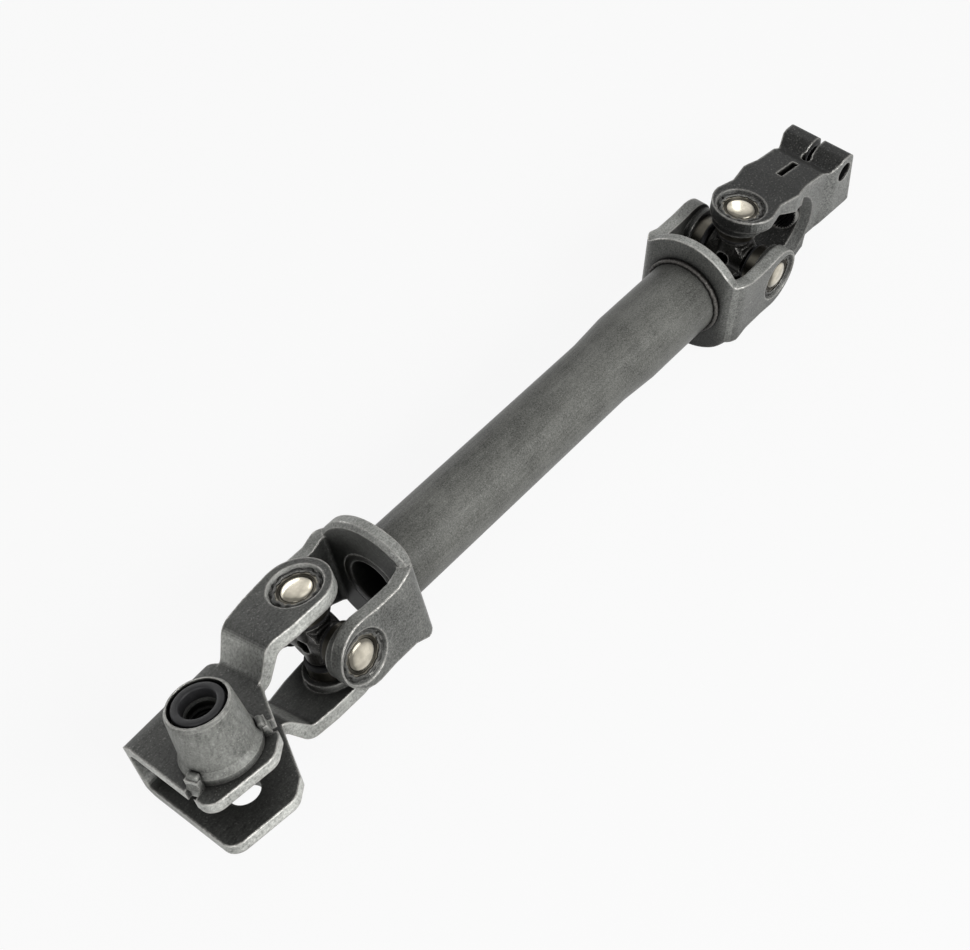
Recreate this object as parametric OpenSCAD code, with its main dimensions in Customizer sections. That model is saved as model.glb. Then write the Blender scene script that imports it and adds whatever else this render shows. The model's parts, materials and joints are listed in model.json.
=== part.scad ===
// Intermediate steering shaft: a tube with a universal joint at each end.
// The lower joint carries a channel-shaped pinch yoke with a captive nut,
// the upper joint a forged fork with a slit clamp for the column spindle.
// Built along X between the joint centres, then laid down as it rests.

/* [Shaft] */
// Distance between the two joint centres
joint_span = 226.9; // [190:1:280]
// Outer radius of the tube
tube_r = 12.9; // [12.2:0.1:13.3]
// Outer radius of the swollen upper stretch of the tube
swell_r = 14; // [13.5:0.1:14.8]
// Length of the swollen stretch, from its cone to the upper yoke
swell_len = 36; // [20:1:60]
// Length of the cone between tube and swollen stretch
swell_cone = 16; // [8:1:24]
// Wall of the tube
tube_wall = 2.6; // [1.5:0.1:3.5]

/* [Shaft yokes] */
// Thickness of the yoke plate and of every ear
yoke_t = 4.8; // [4:0.1:5.2]
// Distance from the joint centre to the outer face of an ear
ear_face = 21.4; // [20.8:0.1:22.5]
// Half the width of an ear
ear_half = 12.3; // [11.8:0.1:13]
// How far an ear reaches past the joint centre
ear_reach = 9.8; // [9.4:0.1:10.6]
// Half the width of an arm at its waist
waist_half = 11.6; // [11:0.1:12.2]
// Half the width of an arm where it meets the base plate
base_half = 13.6; // [12.5:0.1:15]
// Distance from the joint centre to the back of the base plate
base_back = 30.2; // [29.8:0.1:32]
// Radius of the arched outline of the base plate
base_r = 23.2; // [22.5:0.1:25]
// Outer radius of the bend between base plate and arm
yoke_bend = 6.5; // [5:0.1:7]
// Height of the drawn collar inside each ear
collar_len = 2.6; // [1:0.1:3]
// Leg of the weld between yoke and tube
weld_leg = 2.4; // [1.5:0.1:3]

/* [Crosses and cups] */
// Distance from the joint centre to the end of a cup
cup_end = 20; // [19.6:0.1:20.6]
// Outer radius of a bearing cup
cup_r = 7.5; // [7.2:0.1:8]
// Length of a bearing cup
cup_len = 10; // [9:0.1:10.5]
// Wall of a bearing cup
cup_wall = 1; // [0.8:0.05:1.1]
// Thickness of the floor of a bearing cup
cup_floor = 1.6; // [1:0.1:2]
// Radius of a bearing needle
needle_r = 0.98; // [0.9:0.01:1.1]
// Needles in a cup
needle_count = 16; // [12:1:16]
// Radius of the staked mouth around a cup
mouth_r = 9.3; // [8.6:0.1:10]
// Depth of the staked mouth below the face of the ear
mouth_depth = 1.5; // [0.8:0.1:1.8]

/* [Lower pinch yoke] */
// Reach of its ears past the joint centre
pad_reach = 12; // [11.4:0.1:12.3]
// Thickness of the channel plate
channel_t = 3.6; // [3:0.1:4.2]
// Width of the slot between the two plates
channel_gap = 15.2; // [13:0.1:16]
// Length of the ear before the neck bends inwards
neck_start = 22.8; // [20:0.1:24.5]
// Distance from the joint centre to where the neck reaches the plates
neck_stop = 29.2; // [28:0.1:32]
// Half the width of the neck where it meets the plates
neck_half = 9; // [8:0.1:11]
// Distance from the joint centre to the end of the channel at its web
channel_end = 66.2; // [63:0.1:76]
// How much further the plates run on the bolt side
plate_skew = 4.3; // [2:0.1:6]
// Distance from the yoke axis to the outside of the web
web_out = 17; // [16:0.1:19]
// Reach of the plates past the yoke axis on the bolt side
plate_reach = 33.4; // [32:0.1:40]
// Outer radius of the bend between web and plate
channel_bend = 7.5; // [6:0.1:9]
// Distance from the joint centre to the pinch bolt
bolt_out = 53; // [50:0.1:56]
// Distance from the yoke axis to the pinch bolt
bolt_side = 17; // [16.5:0.1:19]
// Radius of the pinch bolt hole
bolt_hole_r = 5.1; // [4.5:0.1:5.5]

/* [Captive nut] */
// Height of the captive nut above its plate
nut_h = 21.2; // [16:0.1:24]
// Radius of the nut barrel at its top
nut_r = 10.1; // [9.6:0.1:10.6]
// Radius of the nut barrel where it meets its foot
nut_root_r = 11.6; // [10.8:0.1:12]
// Radius of the nut foot
nut_foot_r = 12.8; // [12.2:0.1:13.4]
// Radius of the thread
thread_r = 4.9; // [4:0.1:5]
// Height of the two stakes that hold the nut foot
stake_h = 3.4; // [2:0.1:4]

/* [Upper pinch yoke] */
// Half the width of the fork behind its arms
fork_half = 11; // [10.4:0.1:11.6]
// Depth of the clamp below the yoke axis
clamp_low = 13.8; // [12.6:0.1:14.5]
// Half the width across the two clamp lugs
lug_half = 13.3; // [12.6:0.1:14]
// Distance from the joint centre to where the arms run into the clamp
fork_depth = 37.5; // [35:0.5:44]
// Radius of the round bottom of the fork
arch_r = 13; // [12:0.1:14]
// Height of the bevel round the bottom of the fork
arch_rim = 3.4; // [1:0.1:3.8]
// Length of the clamp past the arms of the fork
clamp_len = 28; // [26:0.5:32]
// Height of the clamp lugs above the yoke axis
lug_top = 21.2; // [20.6:0.1:22.5]
// Height of the valley between fork and lugs
valley_up = 17; // [16:0.1:18.5]
// Radius of the splined bore
spline_r = 7.6; // [6.5:0.1:8]
// Width of the clamp slit
slit_w = 2.4; // [1.5:0.1:3]
// Radius of the clamp bolt hole
clamp_hole_r = 3.9; // [3.4:0.1:4.1]
// Distance from the clamp bolt back to the end of the clamp
clamp_bolt_back = 12.2; // [11.8:0.1:14]
// Height of the clamp bolt above the yoke axis
clamp_bolt_up = 14.2; // [13.8:0.1:15]
// Length of the slot through the upper arm
slot_len = 12; // [8:0.5:14]
// Radius of the relief hole where the slit starts
relief_r = 1.8; // [1.4:0.1:2.4]

/* [Pose] */
// Turn of the lower cross about its shaft yoke
lower_pitch = -3.2; // [-20:0.1:20]
// Turn of the lower pinch yoke about its cross
lower_yaw = 0; // [-20:0.1:20]
// Angle between the two shaft yokes
phase = 18.9; // [0:0.1:30]
// Turn of the upper cross about its shaft yoke
upper_pitch = 4.0; // [-20:0.1:20]
// Turn of the upper pinch yoke about its cross
upper_yaw = 0; // [-20:0.1:20]
// Roll of the whole shaft as it lies
rest_roll = -18.03; // [-40:0.1:40]
// Slope of the whole shaft as it lies
rest_slope = 0.38; // [-10:0.1:10]
// Place of the lower joint centre along the shaft
rest_x = -109.88; // [-150:0.01:0]
// Place of the lower joint centre across the shaft
rest_y = 5.63; // [-20:0.01:20]
// Height of the lower joint centre above the floor
rest_lift = 24.48; // [15:0.01:45]

/* [Hidden] */
$fn = 96;

// Clearances
press_gap = 0.01;
run_gap = 0.02;
seal_gap = 0.05;
end_gap = 0.2;
eps = 0.01;

// Cup, needle and trunnion radii follow from each other
cup_in = cup_r - cup_wall;
needle_ring = cup_in - run_gap - needle_r;
trunnion_r = needle_ring - needle_r - run_gap;
cup_mouth = cup_end - cup_len;
trunnion_end = cup_end - cup_floor - end_gap;
seal_len = 1.2;
boss_r = cup_in - 0.2;
boss_end = cup_mouth - seal_len - 0.3;
base_front = base_back - yoke_t;
spigot_r = tube_r - 1.6;
collar_r = cup_r + 2.2;
plate_out = channel_gap / 2 + channel_t;
channel_start = neck_stop;
shoulder_out = channel_start + 11.5;
clamp_end = fork_depth + clamp_len;
clamp_bolt_out = clamp_end - clamp_bolt_back;
arch_out = fork_depth - 2.5 - arch_r;
arc_n = 8;
past = 2;

// Points of a polygon whose corner i is rounded to radius r[i]
function corner_arc(a, b, c, r) =
    let (
        u = (a - b) / norm(a - b),
        v = (c - b) / norm(c - b),
        half = acos(max(-1, min(1, u * v))) / 2,
        middle = (u + v) / norm(u + v),
        centre = b + middle * r / sin(half),
        p = b + u * r / tan(half) - centre,
        q = b + v * r / tan(half) - centre,
        sweep = 180 - 2 * half,
        way = sign(p[0] * q[1] - p[1] * q[0])
    )
    r == 0 ? [b] : [for (i = [0 : arc_n])
        let (t = way * sweep * i / arc_n)
        centre + [p[0] * cos(t) - p[1] * sin(t), p[0] * sin(t) + p[1] * cos(t)]];
function rounded(pts, r) =
    let (n = len(pts))
    [for (i = [0 : n - 1]) each corner_arc(pts[(i + n - 1) % n], pts[i], pts[(i + 1) % n], r[i])];

// Half outline of an ear pad, from the nose round to the side
function pad_arc(reach) =
    [for (i = [-arc_n : arc_n]) let (a = i * 90 / arc_n)
        [ear_half - reach - ear_half * cos(a), ear_half * sin(a)]];

// Frames of the bodies
module at_rest() {
    translate([rest_x, rest_y, rest_lift]) rotate([rest_roll, 0, 0]) rotate([0, rest_slope, 0]) children();
}
module lower_fork() {
    rotate([0, lower_pitch, 0]) rotate([0, 0, 180 + lower_yaw]) children();
}
module upper_joint() {
    translate([joint_span, 0, 0]) rotate([phase, 0, 0]) children();
}
module upper_fork() {
    upper_joint() rotate([0, upper_pitch, 0]) rotate([0, 0, upper_yaw]) children();
}

// Puts a piece that is drawn along +Z on the +Y or -Y arm, or on the top or bottom one
module on_side(side) {
    rotate([side * -90, 0, 0]) children();
}
module on_top(side) {
    rotate([side > 0 ? 0 : 180, 0, 0]) children();
}

// Hole of a cup through an ear, with its staked mouth
module cup_hole() {
    translate([0, 0, cup_mouth]) cylinder(r = cup_r + press_gap, h = cup_end);
    translate([0, 0, ear_face - mouth_depth])
        cylinder(r1 = mouth_r - mouth_depth / 2, r2 = mouth_r, h = mouth_depth + eps);
}

// Collar drawn inwards round the hole of a cup
module collar() {
    translate([0, 0, ear_face - yoke_t - collar_len]) cylinder(r = collar_r, h = collar_len + eps);
}

// Bearing cup with a dished floor and a ring around it
module cup() {
    floor_in = cup_end - cup_floor;
    rotate_extrude() polygon([
        [cup_in, cup_mouth], [cup_r, cup_mouth], [cup_r, cup_end - 0.7], [cup_r - 0.5, cup_end],
        [cup_in - 0.1, cup_end], [cup_in - 0.4, cup_end - 0.6], [cup_in - 1, cup_end - 0.3],
        [cup_in - 2.6, cup_end + 0.15], [0, cup_end + 0.35], [0, floor_in], [cup_in, floor_in]
    ]);
}

// Ring of needles between cup and trunnion
module needles() {
    long = trunnion_end - cup_mouth - 0.6;
    for (i = [0 : needle_count - 1])
        rotate([0, 0, i * 360 / needle_count])
            translate([needle_ring, 0, cup_mouth + 0.4]) cylinder(r = needle_r, h = long, $fn = 24);
}

// Lip seal between the mouth of the cup and the shoulder of the cross
module seal() {
    rotate_extrude() polygon([
        [trunnion_r + seal_gap, cup_mouth - seal_len], [cup_in, cup_mouth - seal_len],
        [cup_r, cup_mouth - seal_len / 2], [cup_r, cup_mouth],
        [trunnion_r + seal_gap, cup_mouth]
    ]);
}

// Cross with four trunnions on its turned bosses
module cross() {
    module arm() {
        rotate_extrude() polygon([
            [0, 0], [boss_r, 0], [boss_r, boss_end - 0.8], [boss_r - 0.8, boss_end],
            [trunnion_r, boss_end], [trunnion_r, trunnion_end - 0.6],
            [trunnion_r - 0.6, trunnion_end], [0, trunnion_end]
        ]);
    }
    color("lightsteelblue") difference() {
        union() {
            for (side = [-1, 1]) {
                on_top(side) arm();
                on_side(side) arm();
            }
            rotate([0, 90, 0]) cylinder(r = boss_r + 1.4, h = 2 * boss_r - 2, center = true);
        }
        rotate([0, 90, 0]) cylinder(r = 2.6, h = 4 * boss_r, center = true);
    }
}

// Outline of an arm of the shaft yoke from the side: round ear, waist, flare to the base
module arm_outline() {
    waist_from = ear_half - ear_reach + sqrt(pow(ear_half, 2) - pow(waist_half, 2)) + 3;
    waist_to = base_front - 6;
    flare_to = base_front - 0.5;
    far = base_back + past;
    polygon(concat(
        [for (p = pad_arc(ear_reach)) p],
        [[waist_from, waist_half], [waist_to, waist_half], [flare_to, base_half], [far, base_half],
         [far, -base_half], [flare_to, -base_half], [waist_to, -waist_half], [waist_from, -waist_half]]
    ));
}

// Pressed U-shaped yoke of the shaft: two ears on an arched base plate
module shaft_yoke() {
    nose = -ear_reach - past;
    inner_bend = yoke_bend - yoke_t;
    bevel = 1.4;
    color("dimgray") difference() {
        union() {
            intersection() {
                linear_extrude(2 * base_r + past, center = true) polygon(rounded(
                    [[nose, ear_face], [base_back, ear_face], [base_back, -ear_face],
                     [nose, -ear_face], [nose, yoke_t - ear_face],
                     [base_front, yoke_t - ear_face], [base_front, ear_face - yoke_t],
                     [nose, ear_face - yoke_t]],
                    [0, yoke_bend, yoke_bend, 0, 0, inner_bend, inner_bend, 0]
                ));
                union() {
                    rotate([90, 0, 0]) linear_extrude(2 * ear_face + past, center = true) arm_outline();
                    translate([base_front, 0, 0]) rotate([0, 90, 0])
                        cylinder(r1 = base_r - bevel, r2 = base_r, h = bevel + eps);
                    translate([base_front + bevel, 0, 0]) rotate([0, 90, 0])
                        cylinder(r = base_r, h = yoke_t);
                }
            }
            for (side = [-1, 1]) on_side(side) collar();
        }
        for (side = [-1, 1]) on_side(side) cup_hole();
        translate([base_front - 1, 0, 0]) rotate([0, 90, 0]) cylinder(r = spigot_r + press_gap, h = yoke_t + past);
    }
}

// Tube with a turned spigot at each end and a swollen upper stretch
module tube() {
    low = base_front;
    high = joint_span - base_front;
    step_low = base_back;
    step_high = joint_span - base_back;
    cone_end = step_high - swell_len;
    cone_start = cone_end - swell_cone;
    bore = spigot_r - tube_wall;
    edge = 0.8;
    color("dimgray") rotate([0, 90, 0]) rotate_extrude() polygon([
        [bore, low], [spigot_r, low], [spigot_r, step_low], [tube_r - edge, step_low],
        [tube_r, step_low + edge], [tube_r, cone_start], [swell_r, cone_end],
        [swell_r, step_high - edge], [swell_r - edge, step_high], [spigot_r, step_high],
        [spigot_r, high], [bore, high]
    ]);
}

// Weld fillet around the tube on the back of a base plate
module weld(r) {
    color("gray") translate([base_back, 0, 0]) rotate([0, 90, 0]) rotate_extrude() polygon([
        [r + press_gap, 0.8], [r + press_gap, weld_leg], [r + weld_leg * 0.35, weld_leg * 0.8],
        [r + weld_leg * 0.8, weld_leg * 0.35], [r + weld_leg, 0], [r - 0.8 + press_gap, 0]
    ]);
}

// Side view of one arm of the channel yoke: ear, neck and start of the plate
module neck_side() {
    nose = -pad_reach - past;
    turn = atan2(ear_face - plate_out, neck_stop - neck_start) / 2;
    arm_shift = yoke_t * tan(turn);
    plate_shift = channel_t * tan(turn);
    stop = channel_start + 6;
    polygon(rounded(
        [[nose, ear_face], [neck_start, ear_face], [neck_stop, plate_out], [stop, plate_out],
         [stop, plate_out - channel_t], [neck_stop - plate_shift, plate_out - channel_t],
         [neck_start - arm_shift, ear_face - yoke_t], [nose, ear_face - yoke_t]],
        [0, 6, 4, 0, 0, 6, 3, 0]
    ));
}

// Outline of the plates of the channel yoke from above
module channel_plan() {
    polygon(rounded(
        [[channel_start - 4, neck_half], [channel_start, neck_half],
         [shoulder_out, plate_reach - 4.5], [shoulder_out + 6.5, plate_reach],
         [channel_end + plate_skew, plate_reach - 4], [channel_end, -web_out],
         [channel_start + 3, -web_out], [channel_start, -neck_half], [channel_start - 4, -neck_half]],
        [0, 2, 3, 6, 5, 3, 3, 2, 0]
    ));
}

// Outline of an ear with its neck from above
module neck_plan() {
    ear_to = pad_reach;
    neck_to = channel_start + 5;
    polygon(concat(
        pad_arc(pad_reach),
        [[ear_to, waist_half], [neck_stop, neck_half], [neck_to, neck_half],
         [neck_to, -neck_half], [neck_stop, -neck_half], [ear_to, -waist_half]]
    ));
}

// Angles about the nut at which a stake is raised out of the plate
stake_turns = [12, 152];
stake_t = 1.6;
stake_w = 5;

// Channel-shaped pinch yoke: two ears, two necks and a plate channel closed by a web
module lower_pinch_yoke() {
    inner_bend = channel_bend - channel_t;
    half_gap = channel_gap / 2;
    reach = plate_reach + 10;
    color("gray") difference() {
        union() {
            intersection() {
                for (side = [-1, 1]) on_top(side) rotate([90, 0, 0])
                    linear_extrude(2 * ear_half + past, center = true) neck_side();
                linear_extrude(2 * ear_face + past, center = true) neck_plan();
            }
            intersection() {
                linear_extrude(2 * plate_out + past, center = true) channel_plan();
                translate([channel_start, 0, 0]) rotate([90, 0, 90])
                    linear_extrude(channel_end - channel_start + 2 * plate_skew) polygon(rounded(
                        [[reach, plate_out], [-web_out, plate_out], [-web_out, -plate_out],
                         [reach, -plate_out], [reach, -half_gap], [channel_t - web_out, -half_gap],
                         [channel_t - web_out, half_gap], [reach, half_gap]],
                        [0, channel_bend, channel_bend, 0, 0, inner_bend, inner_bend, 0]
                    ));
            }
            for (side = [-1, 1]) on_top(side) collar();
            for (turn = stake_turns) translate([bolt_out, bolt_side, plate_out - eps]) rotate([0, 0, turn])
                translate([nut_foot_r + end_gap, -stake_w / 2, 0]) cube([stake_t, stake_w, stake_h]);
        }
        for (side = [-1, 1]) on_top(side) cup_hole();
        translate([bolt_out, bolt_side, 0]) cylinder(r = bolt_hole_r, h = 2 * plate_out + past, center = true);
        for (turn = stake_turns) translate([bolt_out, bolt_side, half_gap - 1]) rotate([0, 0, turn])
            translate([nut_foot_r + end_gap + stake_t, -stake_w / 2, 0])
                cube([stake_h - 0.4, stake_w, channel_t + past]);
    }
}

// Captive nut on the upper plate, with a rolled rim over its lock ring
nut_rim = nut_r - 0.9;
nut_seat = nut_h - 4.5;
thread_len = nut_seat - 0.8;
module captive_nut() {
    color("darkgray") translate([bolt_out, bolt_side, plate_out]) rotate_extrude() polygon([
        [thread_r, 0], [nut_foot_r, 0], [nut_foot_r, 2.2], [nut_root_r, 4.2], [nut_r + 0.3, nut_h - 1.6],
        [nut_r - 0.4, nut_h - 0.6], [nut_rim, nut_h - 0.6], [nut_rim, nut_seat],
        [thread_r + 0.8, nut_seat], [thread_r, thread_len]
    ]);
}
module nut_lock_ring() {
    color("slategray") translate([bolt_out, bolt_side, plate_out]) rotate_extrude() polygon([
        [6.6, nut_seat], [nut_rim - press_gap, nut_seat],
        [nut_rim - press_gap, nut_h - 0.4], [7.2, nut_h], [6.6, nut_h - 0.6]
    ]);
}

// Side view of the forged fork: two arms around a round fork bottom, clamp behind
clamp_slope = 8;
module fork_side() {
    arm_in = ear_face - yoke_t;
    nose = -ear_reach - past;
    difference() {
        polygon(rounded(
            [[nose, ear_face], [fork_depth - 15, ear_face], [fork_depth + 2, ear_face - 1.8],
             [fork_depth + 7.5, valley_up], [fork_depth + 13.5, lug_top],
             [clamp_end - clamp_slope, lug_top], [clamp_end, -clamp_low],
             [fork_depth + 0.5, -clamp_low], [fork_depth - 13.5, -ear_face], [nose, -ear_face]],
            [0, 6, 3, 2, 3, 3.5, 5, 8, 14, 0]
        ));
        polygon([
            [nose - past, arm_in], [arch_out - arch_r + past, arm_in], [arch_out, arch_r],
            [arch_out, -arch_r], [arch_out - arch_r + past, -arm_in], [nose - past, -arm_in]
        ]);
        translate([arch_out, 0]) circle(r = arch_r);
    }
}

// The fork from above: round ear, waist, shoulder and the clamp, wider across its lugs
module fork_plan() {
    waist_from = ear_half - ear_reach + 8;
    shoulder = fork_depth - 17.5;
    stop = clamp_end + 1;
    half = [
        [waist_from, waist_half - 1], [shoulder, ear_half], [fork_depth - 10, fork_half],
        [fork_depth + 6, fork_half], [fork_depth + 12, lug_half], [stop, lug_half]
    ];
    polygon(concat(
        pad_arc(ear_reach),
        half,
        [for (i = [len(half) - 1 : -1 : 0]) [half[i][0], -half[i][1]]]
    ));
}

// Forged clamp fork for the column spindle
module upper_pinch_yoke() {
    nose = -ear_reach - past;
    wide = lug_half + 1;
    relief = fork_depth + 8.7;
    color("dimgray") difference() {
        union() {
            intersection() {
                rotate([90, 0, 0]) linear_extrude(2 * wide, center = true) fork_side();
                linear_extrude(2 * lug_top + past, center = true) fork_plan();
                union() {
                    translate([nose, -wide, 0]) cube([clamp_end - nose + past, 2 * wide, lug_top + past]);
                    translate([nose, -wide, -lug_top]) cube([fork_depth - nose, 2 * wide, lug_top + past]);
                    rotate([0, 90, 0]) cylinder(r = clamp_low, h = clamp_end + past);
                }
            }
            for (side = [-1, 1]) on_top(side) collar();
        }
        for (side = [-1, 1]) on_top(side) cup_hole();
        for (side = [-1, 1]) translate([arch_out, side * (fork_half - arch_rim), 0]) rotate([side * -90, 0, 0])
            intersection() {
                cylinder(r1 = arch_r, r2 = arch_r + arch_rim + eps, h = arch_rim + eps);
                translate([0, -2 * arch_r, -eps]) cube([2 * arch_r, 4 * arch_r, arch_rim + past]);
            }
        rotate([0, 90, 0]) cylinder(r = spline_r, h = clamp_end + past);
        translate([relief, -slit_w / 2, 0]) cube([clamp_len, slit_w, lug_top + past]);
        translate([relief, 0, 0]) cylinder(r = relief_r, h = lug_top + past);
        translate([fork_depth - slot_len, -slit_w / 2, 0]) cube([slot_len, slit_w, lug_top + past]);
        translate([clamp_bolt_out, 0, clamp_bolt_up]) rotate([90, 0, 0])
            cylinder(r = clamp_hole_r, h = 2 * lug_half + past, center = true);
    }
}

at_rest() tube();  // shaft_tube
at_rest() shaft_yoke();  // lower_shaft_yoke
at_rest() upper_joint() rotate([0, 0, 180]) shaft_yoke();  // upper_shaft_yoke
at_rest() weld(tube_r);  // lower_weld
at_rest() upper_joint() rotate([0, 0, 180]) weld(swell_r);  // upper_weld
at_rest() color("silver") on_side(-1) cup();  // lower_front_cup
at_rest() color("silver") on_side(1) cup();  // lower_rear_cup
at_rest() upper_joint() color("silver") on_side(-1) cup();  // upper_front_cup
at_rest() upper_joint() color("silver") on_side(1) cup();  // upper_rear_cup
at_rest() color("white") for (side = [-1, 1]) on_side(side) needles();  // lower_shaft_needles
at_rest() upper_joint() color("white") for (side = [-1, 1]) on_side(side) needles();  // upper_shaft_needles
at_rest() color("black") for (side = [-1, 1]) on_side(side) seal();  // lower_shaft_seals
at_rest() upper_joint() color("black") for (side = [-1, 1]) on_side(side) seal();  // upper_shaft_seals
at_rest() rotate([0, lower_pitch, 0]) cross();  // lower_cross
at_rest() upper_joint() rotate([0, upper_pitch, 0]) cross();  // upper_cross
at_rest() lower_fork() lower_pinch_yoke();
at_rest() lower_fork() color("silver") on_top(1) cup();  // lower_top_cup
at_rest() lower_fork() color("silver") on_top(-1) cup();  // lower_bottom_cup
at_rest() lower_fork() color("white") for (side = [-1, 1]) on_top(side) needles();  // lower_pinch_needles
at_rest() lower_fork() color("black") for (side = [-1, 1]) on_top(side) seal();  // lower_pinch_seals
at_rest() lower_fork() captive_nut();
at_rest() lower_fork() nut_lock_ring();
at_rest() upper_fork() upper_pinch_yoke();
at_rest() upper_fork() color("silver") on_top(1) cup();  // upper_top_cup
at_rest() upper_fork() color("silver") on_top(-1) cup();  // upper_bottom_cup
at_rest() upper_fork() color("white") for (side = [-1, 1]) on_top(side) needles();  // upper_pinch_needles
at_rest() upper_fork() color("black") for (side = [-1, 1]) on_top(side) seal();  // upper_pinch_seals
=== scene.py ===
import json
from math import atan2, cos, degrees, hypot, pi, radians, sin

import bmesh
import bpy
from bpy.props import FloatProperty, FloatVectorProperty, IntProperty, PointerProperty
from mathutils import Matrix, Vector


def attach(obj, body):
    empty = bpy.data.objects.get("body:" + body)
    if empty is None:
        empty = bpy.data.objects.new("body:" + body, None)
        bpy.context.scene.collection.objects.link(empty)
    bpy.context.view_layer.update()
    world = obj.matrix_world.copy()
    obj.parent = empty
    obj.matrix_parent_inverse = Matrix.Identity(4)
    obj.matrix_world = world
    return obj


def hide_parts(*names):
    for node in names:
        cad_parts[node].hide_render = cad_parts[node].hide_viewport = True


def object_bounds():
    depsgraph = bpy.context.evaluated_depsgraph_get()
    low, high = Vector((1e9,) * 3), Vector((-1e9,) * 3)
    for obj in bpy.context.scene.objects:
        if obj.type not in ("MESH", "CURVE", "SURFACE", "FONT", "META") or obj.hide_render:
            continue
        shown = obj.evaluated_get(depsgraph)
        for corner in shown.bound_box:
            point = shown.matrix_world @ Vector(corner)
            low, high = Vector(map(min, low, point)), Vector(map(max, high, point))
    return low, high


bl_info = {
    "name": "Steering Shaft Finish",
    "version": (1, 0, 0),
    "blender": (4, 5, 0),
    "location": "View3D > Sidebar > Steering Shaft",
    "description": "Dresses the packed steering shaft and sets its studio",
    "category": "Object",
}

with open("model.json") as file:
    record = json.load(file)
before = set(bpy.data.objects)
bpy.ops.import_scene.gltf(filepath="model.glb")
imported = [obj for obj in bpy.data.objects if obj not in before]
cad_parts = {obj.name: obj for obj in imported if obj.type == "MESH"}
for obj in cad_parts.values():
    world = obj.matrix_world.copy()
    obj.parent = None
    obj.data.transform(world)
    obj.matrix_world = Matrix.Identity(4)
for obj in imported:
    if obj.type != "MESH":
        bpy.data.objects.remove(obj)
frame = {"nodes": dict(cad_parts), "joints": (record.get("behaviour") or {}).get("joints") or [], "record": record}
CAD_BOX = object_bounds()
MM = 0.001


# Places and directions that the frame gives

def hinge(name):
    """Place and direction of a joint."""
    for joint in frame["joints"]:
        if joint["name"] == name:
            return Vector(joint["pos_m"]), Vector(joint["axis"]).normalized()
    raise RuntimeError(f"the frame has no joint named {name}")


def mount(name):
    """Place, direction, radius and length of a mount."""
    for one in frame["record"]["mounts"]:
        if one["name"] == name:
            size = one["dims"]
            return Vector(one["pos_m"]), Vector(one["axis"]).normalized(), size["r_mm"] * MM, size["length_mm"] * MM
    raise RuntimeError(f"the frame has no mount named {name}")


LOWER_CENTRE, LOWER_SIDE = hinge("lower_cross_hinge")
LOWER_TOP = hinge("lower_yoke_hinge")[1]
UPPER_CENTRE, UPPER_SIDE = hinge("upper_cross_hinge")
UPPER_TOP = hinge("upper_yoke_hinge")[1]
ALONG = (UPPER_CENTRE - LOWER_CENTRE).normalized()

# Each bearing cup: joint centre, outward direction, direction of the yoke's base, body, slot of the ear
CUPS = {
    "lower_front": (LOWER_CENTRE, -LOWER_SIDE, ALONG, "shaft", "yoke_steel"),
    "lower_rear": (LOWER_CENTRE, LOWER_SIDE, ALONG, "shaft", "yoke_steel"),
    "upper_front": (UPPER_CENTRE, -UPPER_SIDE, -ALONG, "shaft", "yoke_steel"),
    "upper_rear": (UPPER_CENTRE, UPPER_SIDE, -ALONG, "shaft", "yoke_steel"),
    "lower_top": (LOWER_CENTRE, LOWER_TOP, -ALONG, "lower_clamp", "channel_steel"),
    "lower_bottom": (LOWER_CENTRE, -LOWER_TOP, -ALONG, "lower_clamp", "channel_steel"),
    "upper_top": (UPPER_CENTRE, UPPER_TOP, ALONG, "upper_clamp", "fork_iron"),
    "upper_bottom": (UPPER_CENTRE, -UPPER_TOP, ALONG, "upper_clamp", "fork_iron"),
}


def stand(origin, up, toward):
    """Matrix that stands a piece drawn along Z on a direction, its X turned towards another."""
    side = (toward - up * toward.dot(up)).normalized()
    return Matrix.Translation(origin) @ Matrix((side, up.cross(side), up)).transposed().to_4x4()


def ring_extent(node, origin, axis):
    """Lowest and highest place along an axis, and smallest and largest distance from it."""
    places = [v.co - origin for v in frame["nodes"][node].data.vertices]
    heights = [p.dot(axis) for p in places]
    radii = [(p - axis * p.dot(axis)).length for p in places]
    return min(heights), max(heights), min(radii), max(radii)


# Sizes and colours that a user would change

def length(name, description, default):
    return FloatProperty(name=name, description=description, default=default, unit="LENGTH", precision=5)


def colour(name, description, default):
    return FloatVectorProperty(name=name, description=description, default=default, subtype="COLOR",
                               min=0.0, max=1.0)


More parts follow.
